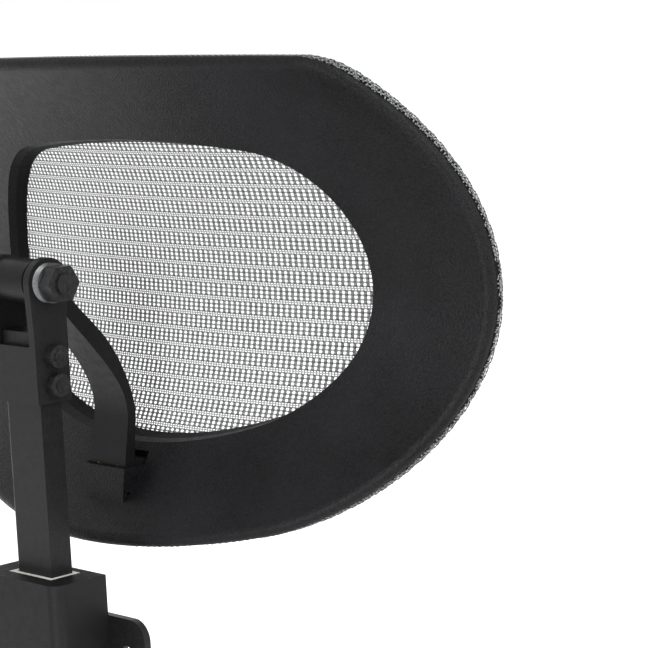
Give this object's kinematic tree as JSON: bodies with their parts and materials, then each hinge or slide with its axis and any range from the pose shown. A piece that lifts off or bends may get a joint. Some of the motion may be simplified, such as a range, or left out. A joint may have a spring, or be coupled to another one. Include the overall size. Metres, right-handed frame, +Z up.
{
  "type": "chair headrest attachment",
  "caption": "Office chair headrest: woven mesh on a racetrack ring, curved arm, friction tilt hinge and a latched height post on a bolt-on housing.",
  "frame": {"origin": "centre of the bolt pattern on the mounting face of the steel plate, which bears on the back of the chair's top rail", "axes": "+Z up along the height post, -Y towards the user through the mounting face, +X to the side of the release button"},
  "size_m": [0.3182, 0.1119, 0.3658],
  "materials": {
    "shell_plastic": "fine moulded grain, matte charcoal black",
    "frame_plastic": "plain moulded black",
    "arm_plastic": "smooth satin moulded black",
    "black_plastic": "moulded satin black",
    "white_plastic": "natural low-friction plastic",
    "painted_steel": "black powder coat",
    "black_steel": "black oxide",
    "zinc_steel": "bright zinc plate",
    "brass_insert": "plain turned brass",
    "mesh_fabric": "open woven grey mesh"
  },
  "bodies": {
    "base": {"mount_plate": "painted_steel", "slide_housing": "black_plastic", "glide_top": "white_plastic", "glide_bottom": "white_plastic", "housing_screws": "zinc_steel", "spring_plug": "black_plastic"},
    "latch": {"latch_plate": "zinc_steel", "release_button": "black_plastic", "latch_spring": "zinc_steel"},
    "post": {"post_bar": "painted_steel", "post_stop": "black_plastic", "stop_screw": "zinc_steel", "hinge_bracket": "painted_steel", "bracket_bolts": "black_steel", "bracket_nuts": "black_steel", "hinge_pin": "black_steel", "hinge_nut": "black_steel", "disc_springs": "zinc_steel", "friction_washers": "zinc_steel"},
    "pad": {"support_arm": "arm_plastic", "hinge_bushes": "white_plastic", "foot_screws": "zinc_steel", "foot_inserts": "brass_insert", "front_frame": "frame_plastic", "rear_cover": "shell_plastic", "cover_clips": "white_plastic", "mesh_panel": "mesh_fabric", "mesh_welt": "frame_plastic"}
  },
  "joints": [
    {"name": "height_slide", "type": "slide", "parent": "base", "child": "post", "axis": [0, 0, 1], "range_m": [0, 0.06]},
    {"name": "tilt", "type": "hinge", "parent": "post", "child": "pad", "pos_m": [0, 0.014, 0.164], "axis": [1, 0, 0], "range_deg": [-35, 6]},
    {"name": "latch_press", "type": "slide", "parent": "base", "child": "latch", "axis": [-1, 0, 0], "range_m": [0, 0.004], "stiffness_N_per_m": 900, "springref_m": -0.002, "deforming": ["latch_spring"]}
  ]
}
